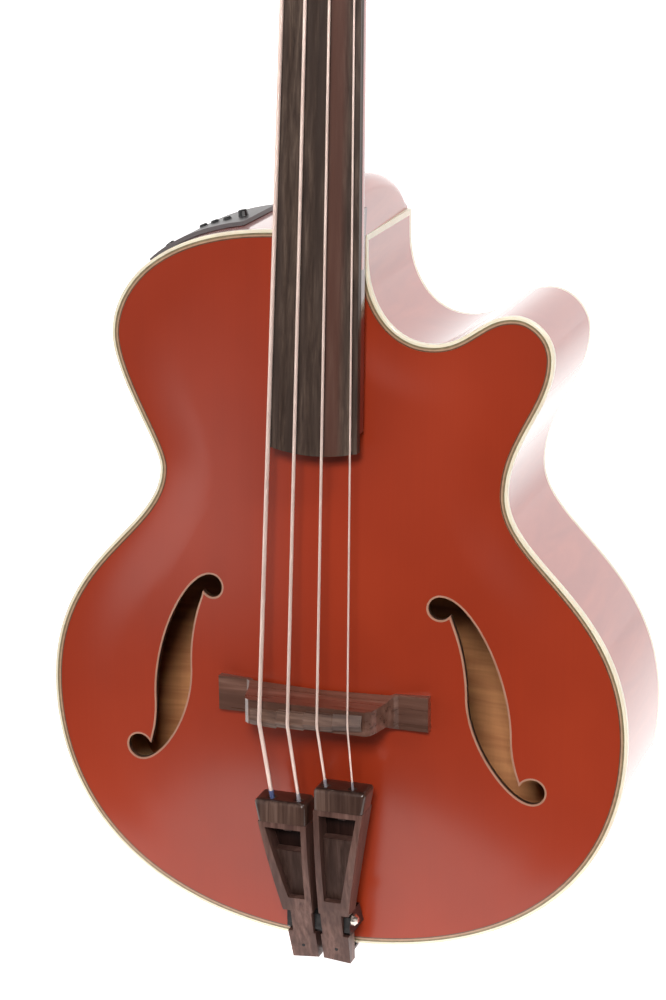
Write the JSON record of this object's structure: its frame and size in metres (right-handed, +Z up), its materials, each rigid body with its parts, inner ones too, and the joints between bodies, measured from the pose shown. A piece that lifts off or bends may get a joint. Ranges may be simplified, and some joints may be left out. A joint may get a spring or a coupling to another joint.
{
  "type": "acoustic bass guitar",
  "caption": "Hollow arched-body acoustic bass with a rounded cutaway, bound f-holes, fretless neck, floating wooden bridge and hinged two-finger wooden tailpiece.",
  "frame": {"origin": "middle of the nut's front edge at the height of the fingerboard, where a hanger holds the neck", "axes": "+Z up the neck towards the headstock, -Y out of the arched top, +X to the treble side with the cutaway"},
  "size_m": [0.381, 0.1656, 1.2333],
  "materials": {
    "red_lacquer": "high gloss transparent red lacquer over maple",
    "cream_plastic": "polished cream binding",
    "purfling_wood": "dark and tan purfling lines under lacquer",
    "spruce": "bare planed softwood",
    "board_wood": "oiled dark fingerboard wood",
    "rosewood": "satin dark brown hardwood",
    "bone": "polished bone",
    "black_plastic": "satin black plastic",
    "chrome": "polished plating",
    "black_metal": "gloss black plating",
    "brass": "polished brass",
    "string_steel": "round wound string"
  },
  "bodies": {
    "instrument": {"arched_top": "red_lacquer", "arched_back": "red_lacquer", "rim_bass": "red_lacquer", "rim_treble": "red_lacquer", "neck": "red_lacquer", "f_hole_binding_bass": "cream_plastic", "f_hole_binding_treble": "cream_plastic", "top_binding": "cream_plastic", "back_binding": "cream_plastic", "heel_strip": "cream_plastic", "top_purfling": "purfling_wood", "top_lining": "spruce", "back_lining": "spruce", "neck_block": "spruce", "end_block": "spruce", "tone_bar_bass": "spruce", "tone_bar_treble": "spruce", "fingerboard": "board_wood", "headplate": "rosewood", "bridge_base": "rosewood", "bridge_saddle": "rosewood", "tail_finger_bass": "rosewood", "tail_finger_treble": "rosewood", "string_holder_bass": "rosewood", "string_holder_treble": "rosewood", "nut": "bone", "truss_rod_cover": "black_plastic", "preamp_panel": "black_plastic", "tuner_ferrule_e": "chrome", "tuner_ferrule_a": "chrome", "tuner_ferrule_d": "chrome", "tuner_ferrule_g": "chrome", "end_pin": "chrome", "tuner_plate_e": "black_metal", "tuner_plate_a": "black_metal", "tuner_plate_d": "black_metal", "tuner_plate_g": "black_metal", "tail_bracket": "black_metal", "tail_hinge_rod": "brass", "string_e": "string_steel", "string_a": "string_steel", "string_d": "string_steel", "string_g": "string_steel"},
    "key_e": {"tuner_key_e": "black_metal"},
    "post_e": {"tuner_post_e": "brass"},
    "key_a": {"tuner_key_a": "black_metal"},
    "post_a": {"tuner_post_a": "brass"},
    "key_d": {"tuner_key_d": "black_metal"},
    "post_d": {"tuner_post_d": "brass"},
    "key_g": {"tuner_key_g": "black_metal"},
    "post_g": {"tuner_post_g": "brass"},
    "knob_volume": {"preamp_knob_volume": "black_plastic"},
    "knob_bass": {"preamp_knob_bass": "black_plastic"},
    "knob_middle": {"preamp_knob_middle": "black_plastic"},
    "knob_treble": {"preamp_knob_treble": "black_plastic"},
    "button": {"preamp_button": "black_plastic"}
  },
  "joints": [
    {"name": "key_turn_e", "type": "hinge", "parent": "instrument", "child": "key_e", "pos_m": [-0.022, 0.03917, 0.04228], "axis": [1, 0, 0], "continuous": true},
    {"name": "post_turn_e", "type": "hinge", "parent": "instrument", "child": "post_e", "pos_m": [-0.022, 0.03655, 0.05653], "axis": [0, 0.9579, -0.2872], "continuous": true},
    {"name": "key_turn_a", "type": "hinge", "parent": "instrument", "child": "key_a", "pos_m": [-0.0195, 0.061, 0.11508], "axis": [1, 0, 0], "continuous": true},
    {"name": "post_turn_a", "type": "hinge", "parent": "instrument", "child": "post_a", "pos_m": [-0.0195, 0.05838, 0.12933], "axis": [0, 0.9579, -0.2872], "continuous": true},
    {"name": "key_turn_d", "type": "hinge", "parent": "instrument", "child": "key_d", "pos_m": [0.0195, 0.061, 0.11508], "axis": [1, 0, 0], "continuous": true},
    {"name": "post_turn_d", "type": "hinge", "parent": "instrument", "child": "post_d", "pos_m": [0.0195, 0.05838, 0.12933], "axis": [0, 0.9579, -0.2872], "continuous": true},
    {"name": "key_turn_g", "type": "hinge", "parent": "instrument", "child": "key_g", "pos_m": [0.022, 0.03917, 0.04228], "axis": [1, 0, 0], "continuous": true},
    {"name": "post_turn_g", "type": "hinge", "parent": "instrument", "child": "post_g", "pos_m": [0.022, 0.03655, 0.05653], "axis": [0, 0.9579, -0.2872], "continuous": true},
    {"name": "knob_volume_turn", "type": "hinge", "parent": "instrument", "child": "knob_volume", "pos_m": [-0.06965, 0.01682, -0.56536], "axis": [-0.2022, 0, 0.9794], "range_deg": [-135, 135]},
    {"name": "knob_bass_turn", "type": "hinge", "parent": "instrument", "child": "knob_bass", "pos_m": [-0.08036, 0.01682, -0.56795], "axis": [-0.2692, 0, 0.9631], "range_deg": [-135, 135]},
    {"name": "knob_middle_turn", "type": "hinge", "parent": "instrument", "child": "knob_middle", "pos_m": [-0.08855, 0.01682, -0.57051], "axis": [-0.3275, 0, 0.9449], "range_deg": [-135, 135]},
    {"name": "knob_treble_turn", "type": "hinge", "parent": "instrument", "child": "knob_treble", "pos_m": [-0.09624, 0.01682, -0.57346], "axis": [-0.3887, 0, 0.9214], "range_deg": [-135, 135]},
    {"name": "button_push", "type": "slide", "parent": "instrument", "child": "button", "axis": [-0.6142, 0, 0.7892], "range_m": [-0.001, 0], "stiffness_N_per_m": 400, "springref_m": 0.0005}
  ],
  "couplings": [
    {"joint": "post_turn_e", "follows": "key_turn_e", "ratio": -0.05},
    {"joint": "post_turn_a", "follows": "key_turn_a", "ratio": -0.05},
    {"joint": "post_turn_d", "follows": "key_turn_d", "ratio": 0.05},
    {"joint": "post_turn_g", "follows": "key_turn_g", "ratio": 0.05}
  ]
}
